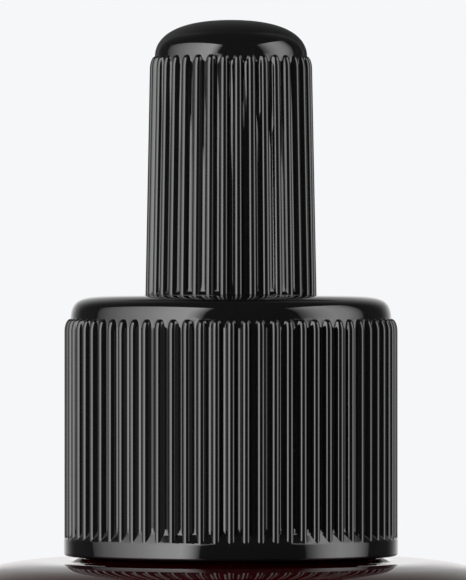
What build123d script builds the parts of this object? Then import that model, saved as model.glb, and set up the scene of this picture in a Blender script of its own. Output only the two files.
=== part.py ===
from build123d import *

import os
from math import asin, cos, degrees, radians, sin

# Ink bottle with a screw-on dropper, in millimetres.
# +Z is up, the bottle's axis is the Z axis and the middle of its base is the origin.
# From the bottom up: the glass bottle and its ink, the sealing washer on the bottle's lip,
# the glass pipette held in the rubber bulb, and the ribbed collar that clamps the bulb down.

# Glass bottle
body_radius = 20.0
glass_wall = 2.2
shoulder_height = 41.0
shoulder_flat_radius = 13.3
shoulder_arc_radius = 14.0
shoulder_break_radius = 16.4
base_corner_radius = 3.0
bearing_width = 1.5
push_up_height = 1.4
base_thickness = 3.4
inner_corner_radius = 4.0

# Neck of the bottle, a 20 mm screw finish
neck_height = 14.0
neck_radius = 8.65
neck_bore_radius = 6.1
neck_thread_radius = 9.4
neck_throat_radius = 2.0
lip_edge_radius = 0.5
pedestal_radius = 11.0
pedestal_height = 0.2
pedestal_chamfer = 0.4
transfer_bead_radius = 9.4
transfer_bead_height = 1.2
transfer_bead_rise = 1.5

# Screw thread, shared by the neck and the collar
thread_pitch = 3.175
thread_turns = 1.5
thread_crest_width = 0.5
thread_root_width = 1.5
thread_clearance = 0.1
thread_embed = 0.3
thread_start_angle = 40.0
neck_thread_rise = 5.2

# Ribbed collar
collar_gap = 0.35
collar_height = 18.2
collar_rib_count = 70
collar_rib_radius = 0.425
collar_valley_radius = 11.235
collar_rib_top = 16.56
collar_rib_end_height = 0.9
collar_band_radius = 11.7
collar_band_height = 1.14
collar_band_slope_height = 0.91
collar_edge_radius = 0.2
collar_inner_radius = 10.2
collar_top_thickness = 1.7
collar_crown_start = 6.3
collar_crown_pull = 4.06
collar_crown_drop = 1.6

# Rubber bulb
bulb_height = 19.27
bulb_rib_count = 36
bulb_rib_radius = 0.35
bulb_foot_valley = 5.657
bulb_taper = 0.0193
bulb_dome_height = 2.57
bulb_dome_pull = 4.76
bulb_dome_shoulder = 0.85
bulb_rib_end_height = 0.9
bulb_foot_flare = 0.5
bulb_neck_radius = 6.05
bulb_flange_radius = 9.3
bulb_flange_thickness = 1.8
bulb_cavity_radius = 4.5
bulb_cavity_top_radius = 4.05
bulb_cavity_corner = 2.0
bulb_wall_top = 1.4
pipette_grip_length = 5.0

# Glass pipette
pipette_radius = 3.5
pipette_bore_radius = 2.5
pipette_bead_radius = 3.95
pipette_bead_height = 1.0
pipette_tip_height = 6.4
pipette_tip_radius = 1.2
pipette_tip_bore_radius = 0.6
pipette_draw_length = 13.0
pipette_draw_pull = 4.55
pipette_tip_pull = 7.15
pipette_bead_edge = 0.4

# Sealing washer and ink
washer_thickness = 1.0
washer_radius = 8.4
washer_edge = 0.15
ink_level = 35.0
ink_pipette_gap = 0.3

# Clearances between pieces
seat_gap = 0.02
running_gap = 0.05
envelope_margin = 0.06
foot_overlap = 0.1

# Heights that follow from the sizes above
lip_height = shoulder_height + neck_height
collar_bottom = shoulder_height + collar_gap
collar_top = collar_bottom + collar_height
bulb_top = collar_top + bulb_height
washer_bottom = lip_height + seat_gap
flange_bottom = washer_bottom + washer_thickness + seat_gap
flange_top = flange_bottom + bulb_flange_thickness
collar_ceiling = collar_top - collar_top_thickness
grip_top = flange_bottom + pipette_grip_length
bulb_dome_base = bulb_top - bulb_dome_height
neck_thread_start = shoulder_height + neck_thread_rise
collar_thread_start = neck_thread_start - thread_pitch / 2


def screw_thread(start_height, root_radius, crest_radius):
    """Sweep one helical thread onto the wall at root_radius, its root sunk into that wall."""
    outward = 1 if crest_radius > root_radius else -1
    depth = abs(crest_radius - root_radius)
    helix = Helix(
        pitch=thread_pitch,
        height=thread_turns * thread_pitch,
        radius=root_radius,
        center=(0, 0, start_height),
        mode=Mode.PRIVATE,
    )
    with BuildSketch(Plane(origin=helix @ 0, x_dir=(outward, 0, 0), z_dir=helix % 0)) as section:
        Polygon(
            (-thread_embed, -thread_root_width / 2),
            (depth, -thread_crest_width / 2),
            (depth, thread_crest_width / 2),
            (-thread_embed, thread_root_width / 2),
            align=None,
        )
    thread = sweep(section.sketch, path=helix, is_frenet=True, mode=Mode.PRIVATE)
    add(thread.rotate(Axis.Z, thread_start_angle))


os.makedirs("parts", exist_ok=True)

# The glass bottle: a straight round body with a nearly flat shoulder that rolls into the
# wall, a base with a push-up inside its bearing ring, and a threaded neck.
shoulder_angle = asin((shoulder_break_radius - shoulder_flat_radius) / shoulder_arc_radius)
shoulder_sweep = degrees(shoulder_angle)
corner_radius = (body_radius - shoulder_break_radius) / (1 - sin(shoulder_angle))
shoulder_arc_centre = (shoulder_flat_radius, shoulder_height - shoulder_arc_radius)
corner_reach = shoulder_arc_radius - corner_radius
corner_centre = (
    shoulder_arc_centre[0] + corner_reach * sin(shoulder_angle),
    shoulder_arc_centre[1] + corner_reach * cos(shoulder_angle),
)
bearing_outer_radius = body_radius - base_corner_radius
bearing_inner_radius = bearing_outer_radius - bearing_width
inner_radius = body_radius - glass_wall
inner_base_radius = inner_radius - inner_corner_radius
inner_corner_centre = (inner_base_radius, base_thickness + inner_corner_radius)
inner_base_centre_height = base_thickness + push_up_height
ceiling_height = shoulder_height - glass_wall
ceiling_radius = neck_bore_radius + neck_throat_radius
throat_height = ceiling_height + neck_throat_radius
lip_edge_height = lip_height - lip_edge_radius
lip_outer_edge = (neck_radius - lip_edge_radius, lip_edge_height)
lip_inner_edge = (neck_bore_radius + lip_edge_radius, lip_edge_height)
shoulder_arc_start = 90 - shoulder_sweep
shoulder_inner_arc = shoulder_arc_radius - glass_wall
pedestal_top = shoulder_height + pedestal_height
bead_bottom = pedestal_top + transfer_bead_rise
bead_top = bead_bottom + transfer_bead_height
bead_bulge = transfer_bead_radius - neck_radius

with BuildPart() as bottle:
    with BuildSketch(Plane.XZ):
        with BuildLine():
            Line((0, push_up_height), (0, lip_height))
            Line((0, lip_height), (lip_outer_edge[0], lip_height))
            CenterArc(lip_outer_edge, lip_edge_radius, 0, 90)
            Line((neck_radius, lip_edge_height), (neck_radius, bead_top))
            ThreePointArc(
                (neck_radius, bead_top),
                (neck_radius + bead_bulge, (bead_top + bead_bottom) / 2),
                (neck_radius, bead_bottom),
            )
            Line((neck_radius, bead_bottom), (neck_radius, pedestal_top))
            Line((neck_radius, pedestal_top), (pedestal_radius - pedestal_chamfer, pedestal_top))
            Line((pedestal_radius - pedestal_chamfer, pedestal_top), (pedestal_radius, shoulder_height))
            Line((pedestal_radius, shoulder_height), (shoulder_flat_radius, shoulder_height))
            CenterArc(shoulder_arc_centre, shoulder_arc_radius, shoulder_arc_start, shoulder_sweep)
            CenterArc(corner_centre, corner_radius, 0, shoulder_arc_start)
            Line((body_radius, corner_centre[1]), (body_radius, base_corner_radius))
            CenterArc((bearing_outer_radius, base_corner_radius), base_corner_radius, 270, 90)
            Line((bearing_outer_radius, 0), (bearing_inner_radius, 0))
            TangentArc((0, push_up_height), (bearing_inner_radius, 0), tangent=(1, 0))
        make_face()
    revolve(axis=Axis.Z)
    with BuildSketch(Plane.XZ):
        with BuildLine():
            Line((0, inner_base_centre_height), (0, lip_height))
            Line((0, lip_height), (lip_inner_edge[0], lip_height))
            CenterArc(lip_inner_edge, lip_edge_radius, 90, 90)
            Line((neck_bore_radius, lip_edge_height), (neck_bore_radius, throat_height))
            CenterArc((ceiling_radius, throat_height), neck_throat_radius, 180, 90)
            Line((ceiling_radius, ceiling_height), (shoulder_flat_radius, ceiling_height))
            CenterArc(shoulder_arc_centre, shoulder_inner_arc, shoulder_arc_start, shoulder_sweep)
            CenterArc(corner_centre, corner_radius - glass_wall, 0, shoulder_arc_start)
            Line((inner_radius, corner_centre[1]), (inner_radius, inner_corner_centre[1]))
            CenterArc(inner_corner_centre, inner_corner_radius, 270, 90)
            TangentArc((0, inner_base_centre_height), (inner_base_radius, base_thickness), tangent=(1, 0))
        make_face()
    revolve(axis=Axis.Z, mode=Mode.SUBTRACT)
    screw_thread(neck_thread_start, neck_radius, neck_thread_radius)
bottle.part.label = "bottle"
export_step(bottle.part, "parts/bottle.step")

# The ink, filling the bottle to its fill line, with a clear well around the pipette.
ink_gap = seat_gap
ink_well_radius = pipette_radius + ink_pipette_gap
ink_floor_height = base_thickness + ink_gap
ink_centre_height = inner_base_centre_height + ink_gap
ink_radius = inner_radius - ink_gap
ink_corner_radius = inner_corner_radius - ink_gap

with BuildPart() as ink_fill:
    with BuildSketch(Plane.XZ):
        with BuildLine():
            Line((0, ink_centre_height), (0, ink_level))
            Line((0, ink_level), (ink_radius, ink_level))
            Line((ink_radius, ink_level), (ink_radius, inner_corner_centre[1]))
            CenterArc(inner_corner_centre, ink_corner_radius, 270, 90)
            TangentArc((0, ink_centre_height), (inner_base_radius, ink_floor_height), tangent=(1, 0))
        make_face()
    revolve(axis=Axis.Z)
    with BuildSketch(Plane.XY.offset(pipette_tip_height - ink_pipette_gap)):
        Circle(ink_well_radius)
    extrude(amount=ink_level, mode=Mode.SUBTRACT)
ink_fill.part.label = "ink_fill"
export_step(ink_fill.part, "parts/ink_fill.step")

# The sealing washer: a soft flat ring on the lip that grips the pipette's shank.
with BuildPart() as sealing_washer:
    with BuildSketch(Plane.XY.offset(washer_bottom)):
        Circle(washer_radius)
        Circle(pipette_radius + running_gap, mode=Mode.SUBTRACT)
    extrude(amount=washer_thickness)
    flat_edges = sealing_washer.faces().filter_by(Axis.Z).edges()
    chamfer(flat_edges.sort_by(SortBy.RADIUS)[-2:], washer_edge)
sealing_washer.part.label = "sealing_washer"
export_step(sealing_washer.part, "parts/sealing_washer.step")

# The glass pipette: a straight tube drawn down to a fine tip, with a bead at its top that
# stops it from pulling out of the bulb.
pipette_top = grip_top + seat_gap + pipette_bead_height
draw_top = pipette_tip_height + pipette_draw_length
draw_pull_height = draw_top - pipette_draw_pull
tip_pull_height = pipette_tip_height + pipette_tip_pull

with BuildPart() as pipette:
    with BuildSketch(Plane.XZ):
        with BuildLine():
            Line((pipette_bore_radius, pipette_top), (pipette_bead_radius, pipette_top))
            Line((pipette_bead_radius, pipette_top), (pipette_bead_radius, grip_top + seat_gap))
            Line((pipette_bead_radius, grip_top + seat_gap), (pipette_radius, grip_top + seat_gap))
            Line((pipette_radius, grip_top + seat_gap), (pipette_radius, draw_top))
            Bezier(
                (pipette_radius, draw_top),
                (pipette_radius, draw_pull_height),
                (pipette_tip_radius, tip_pull_height),
                (pipette_tip_radius, pipette_tip_height),
            )
            Line((pipette_tip_radius, pipette_tip_height), (pipette_tip_bore_radius, pipette_tip_height))
            Bezier(
                (pipette_tip_bore_radius, pipette_tip_height),
                (pipette_tip_bore_radius, tip_pull_height),
                (pipette_bore_radius, draw_pull_height),
                (pipette_bore_radius, draw_top),
            )
            Line((pipette_bore_radius, draw_top), (pipette_bore_radius, pipette_top))
        make_face()
    revolve(axis=Axis.Z)
    round_edges = pipette.edges().filter_by(GeomType.CIRCLE)
    bead_edges = round_edges.filter_by(lambda edge: edge.radius == pipette_bead_radius)
    fillet(bead_edges, pipette_bead_edge)
pipette.part.label = "pipette"
export_step(pipette.part, "parts/pipette.step")

# The rubber bulb: a domed, slightly tapered squeeze bulb with half-round ribs, a flared foot
# on top of the collar, a neck through the collar's hole and a flange clamped under it.
bulb_foot = collar_top + seat_gap
bulb_loft_bottom = bulb_foot - foot_overlap
bulb_loft_height = bulb_top - bulb_loft_bottom
bulb_top_valley = bulb_foot_valley - bulb_taper * bulb_loft_height
bulb_dome_radius = bulb_foot_valley - bulb_taper * (bulb_dome_base - bulb_foot)
bulb_envelope_foot = bulb_foot_valley + bulb_rib_radius + envelope_margin
bulb_envelope_top = bulb_dome_radius + bulb_rib_radius + envelope_margin
bulb_rib_end = bulb_dome_base - bulb_rib_end_height
cavity_top = bulb_top - bulb_wall_top
cavity_corner_centre = (bulb_cavity_top_radius - bulb_cavity_corner, cavity_top - bulb_cavity_corner)
cavity_mouth_radius = pipette_radius + seat_gap
flare_top = bulb_foot + bulb_foot_flare
foot_radius = bulb_foot_valley + bulb_foot_flare
valley_sizes = ((bulb_loft_bottom, bulb_foot_valley), (bulb_top, bulb_top_valley))

with BuildPart() as bulb:
    for section_height, valley_radius in valley_sizes:
        with BuildSketch(Plane.XY.offset(section_height)):
            Circle(valley_radius)
            with PolarLocations(valley_radius, bulb_rib_count, start_angle=180 / bulb_rib_count):
                Circle(bulb_rib_radius * valley_radius / bulb_foot_valley)
    loft(ruled=True)
    with BuildSketch(Plane.XZ):
        with BuildLine():
            Line((0, bulb_loft_bottom), (0, bulb_top))
            Bezier(
                (0, bulb_top),
                (bulb_dome_pull, bulb_top),
                (bulb_dome_radius, bulb_dome_base + bulb_dome_shoulder),
                (bulb_dome_radius, bulb_dome_base),
            )
            TangentArc(
                (bulb_envelope_top, bulb_rib_end),
                (bulb_dome_radius, bulb_dome_base),
                tangent=(0, -1),
                tangent_from_first=False,
            )
            Line((bulb_envelope_top, bulb_rib_end), (bulb_envelope_foot, bulb_loft_bottom))
            Line((bulb_envelope_foot, bulb_loft_bottom), (0, bulb_loft_bottom))
        make_face()
    revolve(axis=Axis.Z, mode=Mode.INTERSECT)
    with BuildSketch(Plane.XZ):
        with BuildLine():
            Line((0, flange_bottom), (0, flare_top))
            Line((0, flare_top), (bulb_foot_valley, flare_top))
            CenterArc((foot_radius, flare_top), bulb_foot_flare, 180, 90)
            Line((foot_radius, bulb_foot), (bulb_neck_radius, bulb_foot))
            Line((bulb_neck_radius, bulb_foot), (bulb_neck_radius, flange_top))
            Line((bulb_neck_radius, flange_top), (bulb_flange_radius, flange_top))
            Line((bulb_flange_radius, flange_top), (bulb_flange_radius, flange_bottom))
            Line((bulb_flange_radius, flange_bottom), (0, flange_bottom))
        make_face()
    revolve(axis=Axis.Z)
    with BuildSketch(Plane.XZ):
        with BuildLine():
            Line((0, flange_bottom), (0, cavity_top))
            Line((0, cavity_top), (cavity_corner_centre[0], cavity_top))
            CenterArc(cavity_corner_centre, bulb_cavity_corner, 0, 90)
            Line((bulb_cavity_top_radius, cavity_corner_centre[1]), (bulb_cavity_radius, grip_top))
            Line((bulb_cavity_radius, grip_top), (cavity_mouth_radius, grip_top))
            Line((cavity_mouth_radius, grip_top), (cavity_mouth_radius, flange_bottom))
            Line((cavity_mouth_radius, flange_bottom), (0, flange_bottom))
        make_face()
    revolve(axis=Axis.Z, mode=Mode.SUBTRACT)
bulb.part.label = "bulb"
export_step(bulb.part, "parts/bulb.step")

# The collar: a hard screw cap with a crowned top, half-round ribs that end in a smooth band,
# a hole for the bulb's neck, and a thread inside.
rib_top = collar_bottom + collar_rib_top
crest_radius = collar_valley_radius + collar_rib_radius + envelope_margin
band_top = collar_bottom + collar_band_height
collar_crest_bottom = collar_bottom + collar_edge_radius
edge_centre = (collar_band_radius - collar_edge_radius, collar_crest_bottom)
band_slope_radius = collar_valley_radius - envelope_margin
band_slope_top = band_top + collar_band_slope_height
collar_hole_radius = bulb_neck_radius + running_gap

with BuildPart() as collar:
    with BuildSketch(Plane.XY.offset(collar_crest_bottom)):
        Circle(collar_valley_radius)
        with PolarLocations(collar_valley_radius, collar_rib_count, start_angle=-90):
            Circle(collar_rib_radius)
    extrude(amount=collar_height)
    with BuildSketch(Plane.XZ):
        with BuildLine():
            Line((0, collar_crest_bottom), (0, collar_top))
            Line((0, collar_top), (collar_crown_start, collar_top))
            Bezier(
                (collar_crown_start, collar_top),
                (collar_crown_start + collar_crown_pull, collar_top),
                (collar_valley_radius, rib_top + collar_crown_drop),
                (collar_valley_radius, rib_top),
            )
            TangentArc(
                (crest_radius, rib_top - collar_rib_end_height),
                (collar_valley_radius, rib_top),
                tangent=(0, -1),
                tangent_from_first=False,
            )
            Line((crest_radius, rib_top - collar_rib_end_height), (crest_radius, collar_crest_bottom))
            Line((crest_radius, collar_crest_bottom), (0, collar_crest_bottom))
        make_face()
    revolve(axis=Axis.Z, mode=Mode.INTERSECT)
    with BuildSketch(Plane.XZ):
        with BuildLine():
            Line((0, collar_bottom), (0, band_slope_top))
            Line((0, band_slope_top), (band_slope_radius, band_slope_top))
            Line((band_slope_radius, band_slope_top), (collar_band_radius, band_top))
            Line((collar_band_radius, band_top), (collar_band_radius, collar_crest_bottom))
            CenterArc(edge_centre, collar_edge_radius, 270, 90)
            Line((edge_centre[0], collar_bottom), (0, collar_bottom))
        make_face()
    revolve(axis=Axis.Z)
    with BuildSketch(Plane.XY.offset(collar_bottom)):
        Circle(collar_inner_radius)
    extrude(amount=collar_ceiling - collar_bottom, mode=Mode.SUBTRACT)
    with BuildSketch(Plane.XY.offset(collar_ceiling)):
        Circle(collar_hole_radius)
    extrude(amount=collar_top_thickness, mode=Mode.SUBTRACT)
    screw_thread(collar_thread_start, collar_inner_radius, neck_thread_radius + thread_clearance)
collar.part.label = "collar"
export_step(collar.part, "parts/collar.step")
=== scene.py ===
import bpy
from math import acos, asin, atan2, cos, degrees, hypot, pi, radians, sin, sqrt, tan
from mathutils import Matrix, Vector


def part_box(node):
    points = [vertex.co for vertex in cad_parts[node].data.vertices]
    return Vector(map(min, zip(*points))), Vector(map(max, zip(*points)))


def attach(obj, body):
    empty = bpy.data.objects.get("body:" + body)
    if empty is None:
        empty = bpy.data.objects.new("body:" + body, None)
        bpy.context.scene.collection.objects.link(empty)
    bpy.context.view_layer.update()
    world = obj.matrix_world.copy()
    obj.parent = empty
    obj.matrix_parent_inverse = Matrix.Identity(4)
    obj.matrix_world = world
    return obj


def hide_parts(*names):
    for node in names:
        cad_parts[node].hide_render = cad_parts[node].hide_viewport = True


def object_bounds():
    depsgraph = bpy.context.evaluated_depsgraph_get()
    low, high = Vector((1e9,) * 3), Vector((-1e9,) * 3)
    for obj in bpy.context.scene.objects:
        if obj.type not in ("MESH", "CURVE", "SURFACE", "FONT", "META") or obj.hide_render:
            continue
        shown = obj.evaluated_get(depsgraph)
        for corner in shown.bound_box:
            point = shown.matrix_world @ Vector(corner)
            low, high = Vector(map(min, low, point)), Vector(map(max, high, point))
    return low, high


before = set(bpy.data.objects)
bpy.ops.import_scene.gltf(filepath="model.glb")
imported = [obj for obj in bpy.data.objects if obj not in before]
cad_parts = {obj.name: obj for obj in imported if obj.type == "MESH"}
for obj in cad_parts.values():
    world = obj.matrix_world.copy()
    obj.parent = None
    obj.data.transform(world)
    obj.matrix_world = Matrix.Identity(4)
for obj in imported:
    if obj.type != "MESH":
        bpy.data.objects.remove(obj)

MM = 0.001
cad_low, cad_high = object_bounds()
bpy.context.scene.view_settings.view_transform = "Standard"

# The camera stands level with the collar's top, a little under half a metre in front, with a
# long lens, so that the closure fills the picture and the bottle's shoulder just shows.
collar_top_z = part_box("collar")[1][2]
camera_distance = 476 * MM
camera_height = collar_top_z + 0.37 * MM
camera_data = bpy.data.cameras.new("camera")
camera_data.sensor_width = 36
camera_data.lens = 422
camera_data.clip_start = 10 * MM
camera = bpy.data.objects.new("camera", camera_data)
camera.location = (0.14 * MM, -camera_distance, camera_height)
camera.rotation_euler = (radians(90), 0, 0)
bpy.context.scene.collection.objects.link(camera)
bpy.context.scene.camera = camera

# The studio: one large softbox on each side, each wrapped from beside the camera to a little
# behind the bottle, in a dark room with a pale wall behind and a pale table underneath. A dark
# flag behind the dome keeps its edge dark against the wall.


def softbox(name, side, facing, elevation, height, radiance, falloff):
    """An upright light, 0.6 m off, that faces the closure from that many degrees round from the
    camera. height is in mm. falloff gives (degrees round, share of the radiance) from its near
    end to its far end."""
    distance = 600 * MM
    turn_to_light = side * radians(facing)
    reach = [distance * tan(radians(azimuth - facing)) for azimuth, share in falloff]
    width = reach[-1] - reach[0]
    middle = (reach[-1] + reach[0]) / 2
    light = bpy.data.lights.new(name, "AREA")
    light.shape = "RECTANGLE"
    light.size = width
    light.size_y = height * MM
    light.energy = radiance * pi * light.size * light.size_y
    light.use_nodes = True
    nodes = light.node_tree.nodes
    links = light.node_tree.links
    across = nodes.new("ShaderNodeNewGeometry")
    split = nodes.new("ShaderNodeSeparateXYZ")
    fade = nodes.new("ShaderNodeValToRGB")
    links.new(across.outputs["Parametric"], split.inputs["Vector"])
    links.new(split.outputs["X"], fade.inputs["Fac"])
    links.new(fade.outputs["Color"], nodes["Emission"].inputs["Strength"])
    stops = []
    for place, (azimuth, share) in zip(reach, falloff):
        along = (place - reach[0]) / width
        stops.append((1 - along if side < 0 else along, share))
    while len(fade.color_ramp.elements) < len(stops):
        fade.color_ramp.elements.new(0.5)
    for element, (place, share) in zip(fade.color_ramp.elements, sorted(stops)):
        element.position = place
        element.color = (share, share, share, 1)
    lamp = bpy.data.objects.new(name, light)
    flat = cos(radians(elevation)) * distance
    lamp.location = (
        sin(turn_to_light) * flat + side * cos(turn_to_light) * middle,
        -cos(turn_to_light) * flat + side * sin(turn_to_light) * middle,
        camera_height + sin(radians(elevation)) * distance,
    )
    lamp.rotation_euler = (radians(90 - elevation), 0, turn_to_light)
    lamp.visible_camera = False
    bpy.context.scene.collection.objects.link(lamp)


left_falloff = [
    (20, 0.1), (27, 0.71), (33, 1), (48, 0.88), (62, 0.66),
    (80, 0.43), (92, 0.27), (103, 0.14), (111, 0.04),
]
right_falloff = [
    (51, 0.1), (58, 0.41), (64, 0.72), (71, 0.92),
    (80, 1), (93, 0.74), (101, 0.44), (110, 0.08),
]
softbox("left_softbox", -1, 50, 14, 840, 6.3, left_falloff)
softbox("right_softbox", 1, 81, 13.5, 780, 4.0, right_falloff)

world = bpy.data.worlds.new("studio")
bpy.context.scene.world = world
world.use_nodes = True
nodes = world.node_tree.nodes
links = world.node_tree.links
direction = nodes.new("ShaderNodeTexCoord")
split = nodes.new("ShaderNodeSeparateXYZ")
links.new(direction.outputs["Generated"], split.inputs["Vector"])
behind = nodes.new("ShaderNodeMapRange")
behind.interpolation_type = "SMOOTHSTEP"
behind.inputs["From Min"].default_value = 0.1
behind.inputs["From Max"].default_value = 0.5
links.new(split.outputs["Y"], behind.inputs["Value"])
sideways = nodes.new("ShaderNodeMath")
sideways.operation = "ABSOLUTE"
links.new(split.outputs["X"], sideways.inputs[0])
inward = nodes.new("ShaderNodeMapRange")
inward.interpolation_type = "SMOOTHSTEP"
inward.inputs["From Min"].default_value = 0.7
inward.inputs["From Max"].default_value = 0.15
links.new(sideways.outputs["Value"], inward.inputs["Value"])
upward = nodes.new("ShaderNodeMath")
upward.operation = "ABSOLUTE"
links.new(split.outputs["Z"], upward.inputs[0])
falling = nodes.new("ShaderNodeValToRGB")
falling.color_ramp.elements[0].position = 0.1
falling.color_ramp.elements[0].color = (0.93, 0.93, 0.93, 1)
falling.color_ramp.elements[1].color = (0.12, 0.12, 0.12, 1)
for position, level in ((0.22, 0.6), (0.45, 0.42), (0.8, 0.25)):
    falling.color_ramp.elements.new(position).color = (level, level, level, 1)
links.new(upward.outputs["Value"], falling.inputs["Fac"])
patch = nodes.new("ShaderNodeMath")
patch.operation = "MULTIPLY"
links.new(behind.outputs["Result"], patch.inputs[0])
links.new(inward.outputs["Result"], patch.inputs[1])
wall = nodes.new("ShaderNodeMath")
wall.operation = "MULTIPLY_ADD"
wall.inputs[2].default_value = 0.06
links.new(patch.outputs["Value"], wall.inputs[0])
links.new(falling.outputs["Color"], wall.inputs[1])
seen = nodes.new("ShaderNodeLightPath")
room = nodes.new("ShaderNodeMix")
room.data_type = "RGBA"
room.inputs["B"].default_value = (0.922, 0.93, 0.945, 1)
links.new(seen.outputs["Is Camera Ray"], room.inputs["Factor"])
links.new(wall.outputs["Value"], room.inputs["A"])
links.new(room.outputs["Result"], nodes["Background"].inputs["Color"])

bpy.ops.mesh.primitive_circle_add(vertices=96, radius=0.9, fill_type="NGON", location=(0, 0, 0))
table_top = bpy.context.object
table_top.name = "table_top"
pale = bpy.data.materials.new("pale_table")
pale.use_nodes = True
pale_shader = pale.node_tree.nodes["Principled BSDF"]
pale_shader.inputs["Base Color"].default_value = (0.78, 0.78, 0.79, 1)
pale_shader.inputs["Roughness"].default_value = 0.6
table_top.data.materials.append(pale)
table_top.visible_glossy = False

flag_width = 30 * MM
flag_height = 60 * MM
flag_behind = 14 * MM
flag_middle = cad_high[2] + 27.5 * MM
bpy.ops.mesh.primitive_plane_add(size=1, location=(0, flag_behind, flag_middle))
flag = bpy.context.object
flag.rotation_euler = (radians(90), 0, 0)
flag.name = "dark_flag"
flag.scale = (flag_width, flag_height, 1)
flag.visible_camera = False
flag.visible_diffuse = False
flag.visible_shadow = False
dark_card = bpy.data.materials.new("dark_card")
dark_card.use_nodes = True
card_shader = dark_card.node_tree.nodes["Principled BSDF"]
card_shader.inputs["Base Color"].default_value = (0.02, 0.02, 0.02, 1)
card_shader.inputs["Emission Color"].default_value = (1, 1, 1, 1)
card_shader.inputs["Emission Strength"].default_value = 0.03
flag.data.materials.append(dark_card)

# The bottle: blown dark glass, round, with a nearly flat shoulder, a push-up under its base,
# a stippled ring to stand on, and a neck with one and a half turns of round-crested thread.


def arc(centre, radius, start, end, steps):
    """Points along an arc, in (radius, height), by angles in degrees from the outward direction."""
    points = []
    for step in range(steps + 1):
        angle = radians(start + (end - start) * step / steps)
        points.append((centre[0] + radius * cos(angle), centre[1] + radius * sin(angle)))
    return points


def curve(first, pull, ease, last, steps):
    """Points along a cubic curve from first to last, drawn towards pull and then ease."""
    points = []
    for step in range(steps + 1):
        t = step / steps
        weights = ((1 - t) ** 3, 3 * t * (1 - t) ** 2, 3 * t * t * (1 - t), t ** 3)
        points.append(tuple(
            sum(weight * point[axis] for weight, point in zip(weights, (first, pull, ease, last)))
            for axis in (0, 1)
        ))
    return points


def rise(radius_from, radius_to, low, high, steps):
    """Evenly spaced points up (or down) a wall."""
    return [
        (radius_from + (radius_to - radius_from) * step / steps, low + (high - low) * step / steps)
        for step in range(steps + 1)
    ]


def turn(name, outline, columns, share=1):
    """Draw a half outline point by point, in millimetres, and spin it round the upright axis.
    share is the part of a full turn that is made."""
    bpy.ops.object.select_all(action="DESELECT")
    bpy.ops.mesh.primitive_plane_add(size=1, location=(0, 0, 0))
    piece = bpy.context.object
    piece.name = name
    bpy.ops.object.mode_set(mode="EDIT")
    bpy.ops.mesh.merge(type="CENTER")
    bpy.ops.transform.translate(value=(outline[0][0] * MM, 0, outline[0][1] * MM))
    for before, after in zip(outline, outline[1:]):
        step = ((after[0] - before[0]) * MM, 0, (after[1] - before[1]) * MM)
        if hypot(step[0], step[2]) > 1e-7:
            bpy.ops.mesh.extrude_region_move(TRANSFORM_OT_translate={"value": step})
    bpy.ops.mesh.select_all(action="SELECT")
    bpy.ops.mesh.spin(steps=columns, angle=-2 * pi * share, center=(0, 0, 0), axis=(0, 0, 1))
    close_seams()
    return piece


def close_seams():
    """Join the edges that meet on the piece being edited, face it outwards, and stop editing."""
    bpy.ops.mesh.select_all(action="SELECT")
    bpy.ops.mesh.remove_doubles(threshold=5e-7)
    bpy.ops.mesh.normals_make_consistent(inside=False)
    bpy.ops.object.mode_set(mode="OBJECT")


def shape(piece, place):
    """Move every vertex: place takes and gives (radius, angle, height), in mm and degrees."""
    for vertex in piece.data.vertices:
        x, y, z = (value / MM for value in vertex.co)
        radius, angle, height = place(hypot(x, y), degrees(atan2(y, x)), z)
        vertex.co = (
            radius * cos(radians(angle)) * MM,
            radius * sin(radians(angle)) * MM,
            height * MM,
        )


def smooth(piece, angle=50):
    """Smooth shading, with edges sharper than angle kept crisp."""
    bpy.ops.object.select_all(action="DESELECT")
    piece.select_set(True)
    bpy.context.view_layer.objects.active = piece
    bpy.ops.object.shade_smooth_by_angle(angle=radians(angle))


body_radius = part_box("bottle")[1][0] / MM
lip_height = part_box("bottle")[1][2] / MM
glass_wall = 2.2
neck_height = 14
shoulder_height = lip_height - neck_height
shoulder_flat = 13.3
shoulder_arc = 14.0
shoulder_reach = 3.1
shoulder_lean = asin(shoulder_reach / shoulder_arc)
corner_arc = (body_radius - shoulder_flat - shoulder_reach) / (1 - sin(shoulder_lean))
lean = degrees(shoulder_lean)
arc_centre = (shoulder_flat, shoulder_height - shoulder_arc)
corner_centre = (
    shoulder_flat + (shoulder_arc - corner_arc) * sin(shoulder_lean),
    shoulder_height - shoulder_arc + (shoulder_arc - corner_arc) * cos(shoulder_lean),
)
neck_radius = 8.65
neck_bore = 6.1
pedestal_top = shoulder_height + 0.2
bead_bottom = pedestal_top + 1.5
bead_top = bead_bottom + 1.2
bearing_outer = body_radius - 3
bearing_inner = bearing_outer - 1.5
push_up = 1.4
stipple_depth = 0.14
stipple_count = 60
inner_radius = body_radius - glass_wall
floor_height = 3.4
ceiling = shoulder_height - glass_wall
pitch = 3.175
thread_turns = 1.5
neck_thread_start = shoulder_height + 5.2
neck_thread_depth = 0.75
thread_start_angle = 40
thread_end_fade = 0.08
thread_crest = 0.5
thread_root = 1.7


def thread_height(angle, height, start_height):
    """How far up its thread a point stands, from 0 on the wall to 1 on the crest. The thread
    fades out at both ends."""
    turned = (angle - thread_start_angle) % 360
    tallest = 0
    for turn_number in range(3):
        along = turned / 360 + turn_number
        if along > thread_turns:
            continue
        fade = min(1, along / thread_end_fade, (thread_turns - along) / thread_end_fade)
        off_centre = abs(height - start_height - along * pitch)
        slope = (thread_root / 2 - off_centre) / (thread_root / 2 - thread_crest / 2)
        flank = max(0, min(1, slope))
        tallest = max(tallest, fade * flank * flank * (3 - 2 * flank))
    return tallest


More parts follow.
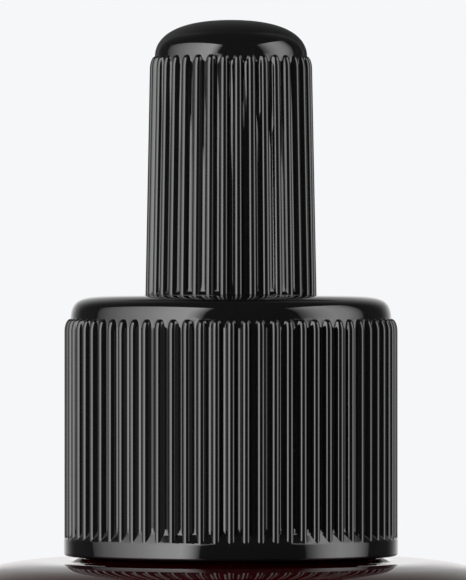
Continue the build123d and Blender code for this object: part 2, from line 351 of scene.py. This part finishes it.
bottle_outline = (
    curve((0, push_up), (bearing_inner * 0.4, push_up),
          (bearing_inner * 0.9, 0.35), (bearing_inner, 0), 14)
    + rise(bearing_inner, bearing_outer, 0, 0, 4)
    + arc((bearing_outer, 3), 3, -90, 0, 14)
    + rise(body_radius, body_radius, 3, corner_centre[1], 8)
    + arc(corner_centre, corner_arc, 0, 90 - lean, 22)
    + arc(arc_centre, shoulder_arc, 90 - lean, 90, 12)
    + [(11.8, shoulder_height), (11.1, shoulder_height), (11.0, shoulder_height + 0.03)]
    + [(10.65, pedestal_top - 0.03), (10.55, pedestal_top), (9.2, pedestal_top)]
    + arc((neck_radius + 0.4, pedestal_top + 0.4), 0.4, 270, 180, 5)
    + arc((neck_radius, (bead_bottom + bead_top) / 2), 0.6, -88, 88, 12)
    + rise(neck_radius, neck_radius, bead_top + 0.3, lip_height - 0.9, 60)
    + arc((neck_radius - 0.45, lip_height - 0.5), 0.5, 0, 90, 8)
    + arc((neck_bore + 0.5, lip_height - 0.5), 0.5, 90, 180, 8)
    + rise(neck_bore, neck_bore, lip_height - 0.6, ceiling + 2, 6)
    + arc((neck_bore + 2, ceiling + 2), 2, 180, 270, 10)
    + arc(arc_centre, shoulder_arc - glass_wall, 90, 90 - lean, 8)
    + arc(corner_centre, corner_arc - glass_wall, 90 - lean, 0, 14)
    + rise(inner_radius, inner_radius, corner_centre[1], floor_height + 4, 6)
    + arc((inner_radius - 4, floor_height + 4), 4, 0, -90, 12)
    + curve((inner_radius - 4, floor_height), (9, floor_height + 1), (5, floor_height + push_up),
            (0, floor_height + push_up), 10)
)
bottle = turn("glass_bottle", bottle_outline, 240)


def bottle_place(radius, angle, height):
    """Raise the thread on the neck, and press the stipple into the ring that the bottle
    stands on."""
    on_neck = bead_top < height < lip_height - 0.8 and abs(radius - neck_radius) < 0.05
    if on_neck:
        radius += neck_thread_depth * thread_height(angle, height, neck_thread_start)
    if height < 0.01 and bearing_inner < radius < bearing_outer:
        height = stipple_depth * (0.5 - 0.5 * cos(radians(angle) * stipple_count))
    return radius, angle, height


shape(bottle, bottle_place)
smooth(bottle, 60)


def socket(group, name, direction, kind, value=None):
    """A named input or output on a shader node group."""
    item = group.interface.new_socket(name=name, in_out=direction, socket_type=kind)
    if value is not None:
        item.default_value = value


def fine_surface_group():
    """Gloss that varies, a fine skin texture and stray dust, for all moulded and blown surfaces."""
    group = bpy.data.node_groups.new("fine_surface", "ShaderNodeTree")
    socket(group, "Skin Scale", "INPUT", "NodeSocketFloat", 3000)
    socket(group, "Skin Depth", "INPUT", "NodeSocketFloat", 0.05)
    socket(group, "Wave Scale", "INPUT", "NodeSocketFloat", 120)
    socket(group, "Wave Depth", "INPUT", "NodeSocketFloat", 0.05)
    socket(group, "Gloss Low", "INPUT", "NodeSocketFloat", 0.1)
    socket(group, "Gloss High", "INPUT", "NodeSocketFloat", 0.2)
    socket(group, "Dust Amount", "INPUT", "NodeSocketFloat", 0.1)
    socket(group, "Roughness", "OUTPUT", "NodeSocketFloat")
    socket(group, "Dust", "OUTPUT", "NodeSocketFloat")
    socket(group, "Normal", "OUTPUT", "NodeSocketVector")
    nodes = group.nodes
    links = group.links
    given = nodes.new("NodeGroupInput")
    result = nodes.new("NodeGroupOutput")
    place = nodes.new("ShaderNodeTexCoord")

    skin = nodes.new("ShaderNodeTexNoise")
    skin.inputs["Detail"].default_value = 3
    links.new(place.outputs["Object"], skin.inputs["Vector"])
    links.new(given.outputs["Skin Scale"], skin.inputs["Scale"])
    wave = nodes.new("ShaderNodeTexNoise")
    wave.inputs["Detail"].default_value = 1
    links.new(place.outputs["Object"], wave.inputs["Vector"])
    links.new(given.outputs["Wave Scale"], wave.inputs["Scale"])
    wave_bump = nodes.new("ShaderNodeBump")
    wave_bump.inputs["Distance"].default_value = 0.1 * MM
    links.new(given.outputs["Wave Depth"], wave_bump.inputs["Strength"])
    links.new(wave.outputs["Fac"], wave_bump.inputs["Height"])
    skin_bump = nodes.new("ShaderNodeBump")
    skin_bump.inputs["Distance"].default_value = 0.01 * MM
    links.new(given.outputs["Skin Depth"], skin_bump.inputs["Strength"])
    links.new(skin.outputs["Fac"], skin_bump.inputs["Height"])
    links.new(wave_bump.outputs["Normal"], skin_bump.inputs["Normal"])
    links.new(skin_bump.outputs["Normal"], result.inputs["Normal"])

    handling = nodes.new("ShaderNodeTexNoise")
    handling.inputs["Scale"].default_value = 260
    handling.inputs["Detail"].default_value = 4
    links.new(place.outputs["Object"], handling.inputs["Vector"])
    gloss = nodes.new("ShaderNodeMapRange")
    gloss.inputs["From Min"].default_value = 0.35
    gloss.inputs["From Max"].default_value = 0.65
    links.new(handling.outputs["Fac"], gloss.inputs["Value"])
    links.new(given.outputs["Gloss Low"], gloss.inputs["To Min"])
    links.new(given.outputs["Gloss High"], gloss.inputs["To Max"])

    specks = nodes.new("ShaderNodeTexNoise")
    specks.inputs["Scale"].default_value = 5200
    specks.inputs["Detail"].default_value = 2
    links.new(place.outputs["Object"], specks.inputs["Vector"])
    few = nodes.new("ShaderNodeMapRange")
    few.inputs["From Min"].default_value = 0.72
    few.inputs["From Max"].default_value = 0.8
    links.new(specks.outputs["Fac"], few.inputs["Value"])
    dust = nodes.new("ShaderNodeMath")
    dust.operation = "MULTIPLY"
    links.new(few.outputs["Result"], dust.inputs[0])
    links.new(given.outputs["Dust Amount"], dust.inputs[1])
    links.new(dust.outputs["Value"], result.inputs["Dust"])
    dulled = nodes.new("ShaderNodeMath")
    dulled.operation = "ADD"
    links.new(gloss.outputs["Result"], dulled.inputs[0])
    links.new(dust.outputs["Value"], dulled.inputs[1])
    links.new(dulled.outputs["Value"], result.inputs["Roughness"])
    return group


fine_surface = fine_surface_group()


def finish_with(name, colour, dust_colour, **surface):
    """A material on the fine surface, whose colour is lifted a little where dust lies."""
    material = bpy.data.materials.new(name)
    material.use_nodes = True
    nodes = material.node_tree.nodes
    links = material.node_tree.links
    shader = nodes["Principled BSDF"]
    skin = nodes.new("ShaderNodeGroup")
    skin.node_tree = fine_surface
    for key, value in surface.items():
        skin.inputs[key.replace("_", " ").title()].default_value = value
    tint = nodes.new("ShaderNodeMix")
    tint.data_type = "RGBA"
    tint.inputs["A"].default_value = (*colour, 1)
    tint.inputs["B"].default_value = (*dust_colour, 1)
    links.new(skin.outputs["Dust"], tint.inputs["Factor"])
    links.new(tint.outputs["Result"], shader.inputs["Base Color"])
    links.new(skin.outputs["Roughness"], shader.inputs["Roughness"])
    links.new(skin.outputs["Normal"], shader.inputs["Normal"])
    return material


dark_glass = finish_with(
    "dark_red_glass", (0.16, 0.006, 0.007), (0.4, 0.3, 0.3),
    wave_scale=60, wave_depth=0.02, skin_depth=0.0,
    gloss_low=0.0, gloss_high=0.01, dust_amount=0.02,
)
dark_glass.node_tree.nodes["Principled BSDF"].inputs["Transmission Weight"].default_value = 0.9
dark_glass.node_tree.nodes["Principled BSDF"].inputs["IOR"].default_value = 1.58
bottle.data.materials.append(dark_glass)
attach(bottle, "glass_bottle")
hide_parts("bottle")

# The ink: a dark liquid that wets the inside of the glass and climbs it in a small meniscus.
ink_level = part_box("ink_fill")[1][2] / MM
ink_radius = inner_radius - 0.02
ink_outline = (
    curve((0, floor_height + push_up + 0.02), (5, floor_height + push_up + 0.02),
          (9, floor_height + 1.02), (ink_radius - 3.98, floor_height + 0.02), 10)
    + arc((ink_radius - 3.98, floor_height + 4), 3.98, -90, 0, 12)
    + rise(ink_radius, ink_radius, floor_height + 4, ink_level, 4)
    + arc((ink_radius - 1.2, ink_level), 1.2, 0, -90, 8)
    + [(12, ink_level - 1.2), (8, ink_level - 1.2), (4, ink_level - 1.2), (0, ink_level - 1.2)]
)
ink = turn("ink", ink_outline, 120)
smooth(ink, 40)
ink_finish = finish_with(
    "dark_ink", (0.012, 0.0015, 0.002), (0.03, 0.005, 0.006),
    wave_scale=60, wave_depth=0.02, skin_depth=0.0,
    gloss_low=0.02, gloss_high=0.06, dust_amount=0.0,
)
ink_finish.node_tree.nodes["Principled BSDF"].inputs["IOR"].default_value = 1.34
ink.data.materials.append(ink_finish)
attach(ink, "glass_bottle")
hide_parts("ink_fill")

# The sealing washer: a soft translucent white ring that lies on the lip and grips the pipette.
washer_low, washer_high = (corner[2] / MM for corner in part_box("sealing_washer"))
washer_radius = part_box("sealing_washer")[1][0] / MM
washer_hole = 3.55
washer_edge = 0.18
washer_outline = (
    arc((washer_radius - washer_edge, washer_low + washer_edge), washer_edge, -90, 0, 5)
    + arc((washer_radius - washer_edge, washer_high - washer_edge), washer_edge, 0, 90, 5)
    + [(7.4, washer_high), (7.2, washer_high - 0.08), (6.8, washer_high - 0.08), (6.6, washer_high)]
    + [(washer_hole + 0.15, washer_high), (washer_hole, washer_high - 0.12)]
    + [(washer_hole, washer_low + 0.12), (washer_hole + 0.15, washer_low)]
    + [(6.6, washer_low), (6.8, washer_low + 0.08), (7.2, washer_low + 0.08), (7.4, washer_low)]
    + [(washer_radius - washer_edge, washer_low)]
)
washer = turn("sealing_washer_ring", washer_outline, 128)
smooth(washer, 40)
washer_finish = finish_with(
    "soft_white_plastic", (0.78, 0.78, 0.75), (0.5, 0.48, 0.45),
    skin_scale=2500, skin_depth=0.3, wave_depth=0.05,
    gloss_low=0.38, gloss_high=0.5, dust_amount=0.1,
)
washer_shader = washer_finish.node_tree.nodes["Principled BSDF"]
washer_shader.inputs["Subsurface Weight"].default_value = 0.3
washer_shader.inputs["Subsurface Scale"].default_value = 1 * MM
washer.data.materials.append(washer_finish)
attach(washer, "washer")
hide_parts("sealing_washer")

# The pipette: clear drawn glass, with a fire-polished bead at the top, where the bulb grips
# it, and a long draw down to a fine rounded tip.
tip_height, pipette_top = (corner[2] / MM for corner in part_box("pipette"))
bead_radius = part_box("pipette")[1][0] / MM
tube_radius = 3.5
tube_bore = 2.5
tip_radius = 1.2
tip_bore = 0.6
draw_length = 13.0
draw_top = tip_height + draw_length
pipette_outline = (
    arc((tip_radius - 0.3, tip_height + 0.3), 0.3, -90, 0, 5)
    + curve((tip_radius, tip_height + 0.3), (tip_radius, tip_height + 0.55 * draw_length),
            (tube_radius, draw_top - 0.35 * draw_length), (tube_radius, draw_top), 28)
    + rise(tube_radius, tube_radius, draw_top, pipette_top - 1.1, 8)
    + arc((tube_radius, pipette_top - 0.5), bead_radius - tube_radius, -80, 80, 10)
    + [(tube_bore + 0.45, pipette_top), (tube_bore + 0.12, pipette_top - 0.1)]
    + [(tube_bore, pipette_top - 0.4)]
    + rise(tube_bore, tube_bore, pipette_top - 1, draw_top, 8)
    + curve((tube_bore, draw_top), (tube_bore, draw_top - 0.35 * draw_length),
            (tip_bore, tip_height + 0.55 * draw_length), (tip_bore, tip_height + 0.2), 28)
    + [(tip_bore + 0.08, tip_height + 0.02), (tip_radius - 0.3, tip_height)]
)
pipette = turn("pipette_tube", pipette_outline, 96)
smooth(pipette, 60)
clear_glass = finish_with(
    "clear_glass", (0.96, 0.985, 0.98), (0.7, 0.7, 0.7),
    wave_scale=200, wave_depth=0.05, skin_depth=0.0,
    gloss_low=0.0, gloss_high=0.02, dust_amount=0.02,
)
clear_glass.node_tree.nodes["Principled BSDF"].inputs["Transmission Weight"].default_value = 1
clear_glass.node_tree.nodes["Principled BSDF"].inputs["IOR"].default_value = 1.48
pipette.data.materials.append(clear_glass)
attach(pipette, "dropper")
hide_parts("pipette")

# The bulb: glossy black rubber, moulded in one, with a smooth dome, wave-shaped ribs down a
# slight taper, a foot that flares onto the collar, and a flange clamped under the collar.
bulb_low, bulb_top = (corner[2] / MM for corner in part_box("bulb"))
flange_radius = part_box("bulb")[1][0] / MM
collar_top = collar_top_z / MM
bulb_foot = collar_top + 0.02
flange_top = bulb_low + 1.8
grip_top = bulb_low + 5
bulb_ribs = 36
bulb_rib = 0.35
foot_valley = 5.657
bulb_taper = 0.0193
dome_base = bulb_top - 2.57
dome_radius = foot_valley - bulb_taper * (dome_base - bulb_foot)
rib_fade = 0.9
flare = 0.5

# The section across a rib, in shares of half its width: a round hollow, a straight flank that
# leans by rib_lean, and a round crest.
rib_lean = radians(68)
hollow_share = 0.436
crest_share = 0.535
hollow_height = hollow_share * (1 - cos(rib_lean))
flank_height = (1 - (hollow_share + crest_share) * sin(rib_lean)) * tan(rib_lean)
wave_height = hollow_height + flank_height + crest_share * (1 - cos(rib_lean))


def rib_section(step):
    """A point on the wave from hollow (step 0) to crest (step 6): how far along, and how far up."""
    if step <= 2:
        lean = rib_lean * step / 2
        return hollow_share * sin(lean), hollow_share * (1 - cos(lean)) / wave_height
    lean = rib_lean * (6 - step) / 3
    return 1 - crest_share * sin(lean), 1 - crest_share * (1 - cos(lean)) / wave_height


def rib_meets(level):
    """How far along the wave it stands at that level, from 0 in the hollow to 1 on the crest."""
    height = level * wave_height
    if height < hollow_height:
        return hollow_share * sin(acos(1 - height / hollow_share))
    if height < hollow_height + flank_height:
        return hollow_share * sin(rib_lean) + (height - hollow_height) / tan(rib_lean)
    return 1 - crest_share * sin(acos(1 - (wave_height - height) / crest_share))


def ribbed_turn(name, outline, count, rib, valley_at, top, fade, bottom):
    """Turn one rib's share of a ribbed piece, raise the rib, and copy it all the way round.
    A rib is rounded off at the top, and cut off by the base where that flares."""
    columns = 12
    piece = turn(name, outline, columns, 1 / count)
    spacing = 360 / count

    def place(radius, angle, height):
        column = round(angle / spacing * columns)
        valley = valley_at(height)
        outside = bottom < height < top + 0.001 and radius > valley - 0.03
        if not outside or column in (0, columns):
            return radius, angle, height
        into_end = max(0, min(1, (height - top + fade) / fade))
        taller = sqrt(1 - into_end * into_end)
        wider = max(0.4, (1 - into_end ** 3) ** (1 / 3))
        level = min(1, max(0, radius - valley) / rib)
        along, up = rib_section(min(column, columns - column))
        if up < level:
            along, up = rib_meets(level), level
        side = 1 if column > columns / 2 else -1
        angle = spacing / 2 * (1 + side * (1 - along) * wider)
        return max(radius, valley + rib * up * taller), angle, height

    shape(piece, place)
    bpy.ops.object.mode_set(mode="EDIT")
    bpy.ops.mesh.select_all(action="SELECT")
    turns = -2 * pi * (count - 1) / count
    bpy.ops.mesh.spin(steps=count - 1, angle=turns, center=(0, 0, 0), axis=(0, 0, 1), dupli=True)
    close_seams()
    return piece


def rib_rounding(radius, top, fade, steps):
    """Outline points down the rounded top end of a rib, closest together at its tip."""
    points = []
    for step in range(steps + 1):
        points.append((radius, top - fade + fade * sin(radians(86 * (1 - step / steps)))))
    return points


def bulb_valley_at(height):
    """Radius of the bulb between its ribs."""
    return foot_valley - bulb_taper * (height - bulb_foot)


flared_foot = []
for step in range(12):
    flared_by = bulb_rib * sin(radians(8 * step))
    foot_rise = flare - sqrt(flare * flare - (flare - flared_by) ** 2)
    flared_foot.append((bulb_valley_at(bulb_foot + foot_rise) + flared_by, bulb_foot + foot_rise))
bulb_outline = (
    curve((0, bulb_top), (4.76, bulb_top),
          (dome_radius, dome_base + 0.85), (dome_radius, dome_base), 26)
    + rib_rounding(dome_radius, dome_base, rib_fade, 10)
    + rise(bulb_valley_at(dome_base - 2), bulb_valley_at(bulb_foot + 1),
           dome_base - 2, bulb_foot + 1, 4)
    + flared_foot
    + [(foot_valley + flare, bulb_foot), (6.05, bulb_foot), (6.05, flange_top)]
    + arc((flange_radius - 0.2, flange_top - 0.2), 0.2, 90, 0, 4)
    + arc((flange_radius - 0.2, bulb_low + 0.2), 0.2, 0, -90, 4)
    + [(3.9, bulb_low), (tube_radius + 0.02, bulb_low + 0.3), (tube_radius + 0.02, grip_top)]
    + [(4.3, grip_top), (4.5, grip_top + 0.2)]
    + rise(4.5, 4.05, grip_top + 1, bulb_top - 3.4, 5)
    + arc((2.05, bulb_top - 3.4), 2, 0, 90, 10)
    + [(1, bulb_top - 1.4), (0, bulb_top - 1.4)]
)
bulb = ribbed_turn(
    "squeeze_bulb", bulb_outline, bulb_ribs, bulb_rib, bulb_valley_at,
    dome_base, rib_fade, bulb_foot + 0.001,
)
smooth(bulb, 28)
black_rubber = finish_with(
    "gloss_black_rubber", (0.0035, 0.0035, 0.0038), (0.12, 0.12, 0.12),
    skin_scale=4200, skin_depth=0.12, wave_scale=150, wave_depth=0.03,
    gloss_low=0.05, gloss_high=0.08, dust_amount=0.06,
)
bulb.data.materials.append(black_rubber)
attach(bulb, "dropper")
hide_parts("bulb")

# The collar: hard glossy black plastic, with a crowned top, wave-shaped ribs packed side by
# side that run out into a smooth band, a hole for the bulb, and a moulded thread inside.
collar_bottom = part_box("collar")[0][2] / MM
collar_ribs = 70
collar_rib = 0.425
valley_radius = 11.235
band_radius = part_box("collar")[1][0] / MM
rib_top = collar_bottom + 16.56
collar_rib_fade = 0.88
band_top = collar_bottom + 1.14
slope_top = band_top + 0.81
slope_depth = band_radius - valley_radius
collar_inner = 10.2
hole_radius = 6.1
collar_ceiling = collar_top - 1.7
collar_thread_start = neck_thread_start - pitch / 2
collar_thread_depth = 0.7

band_slope = []
for step in range(12):
    proud = collar_rib * sin(radians(7.9 * step))
    fallen = proud / slope_depth
    band_slope.append((valley_radius + proud, slope_top - fallen * (slope_top - band_top)))
collar_outline = (
    [(hole_radius, collar_top - 0.06), (hole_radius + 0.06, collar_top)]
    + curve((6.5, collar_top), (10.36, collar_top),
            (11.17, rib_top + 1.6), (valley_radius, rib_top), 26)
    + rib_rounding(valley_radius, rib_top, collar_rib_fade, 10)
    + rise(valley_radius, valley_radius, rib_top - 2, slope_top + 0.3, 3)
    + band_slope
    + [(band_radius - 0.005, band_top), (band_radius, band_top - 0.05)]
    + arc((band_radius - 0.2, collar_bottom + 0.2), 0.2, 0, -90, 6)
    + arc((collar_inner + 0.2, collar_bottom + 0.2), 0.2, 270, 180, 3)
    + rise(collar_inner, collar_inner, collar_bottom + 0.8, collar_bottom + 3, 2)
    + rise(collar_inner, collar_inner, collar_bottom + 3.2, collar_bottom + 10.2, 26)
    + [(collar_inner, collar_ceiling - 0.3), (collar_inner - 0.3, collar_ceiling)]
    + [(hole_radius + 0.2, collar_ceiling), (hole_radius, collar_ceiling + 0.2)]
    + [(hole_radius, collar_top - 0.06)]
)
collar = ribbed_turn(
    "screw_collar", collar_outline, collar_ribs, collar_rib, lambda height: valley_radius,
    rib_top, collar_rib_fade, band_top + 0.001,
)


def collar_place(radius, angle, height):
    """Turn the collar so that a rib faces the front, and raise the thread inside it."""
    angle -= 90 + 180 / collar_ribs
    if abs(radius - collar_inner) < 0.01 and height < collar_ceiling - 1:
        radius -= collar_thread_depth * thread_height(angle, height, collar_thread_start)
    return radius, angle, height


shape(collar, collar_place)
smooth(collar, 28)
black_plastic = finish_with(
    "gloss_black_plastic", (0.003, 0.003, 0.0032), (0.12, 0.12, 0.12),
    skin_scale=5200, skin_depth=0.06, wave_scale=110, wave_depth=0.03,
    gloss_low=0.04, gloss_high=0.07, dust_amount=0.06,
)
collar.data.materials.append(black_plastic)
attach(collar, "cap")
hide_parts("collar")
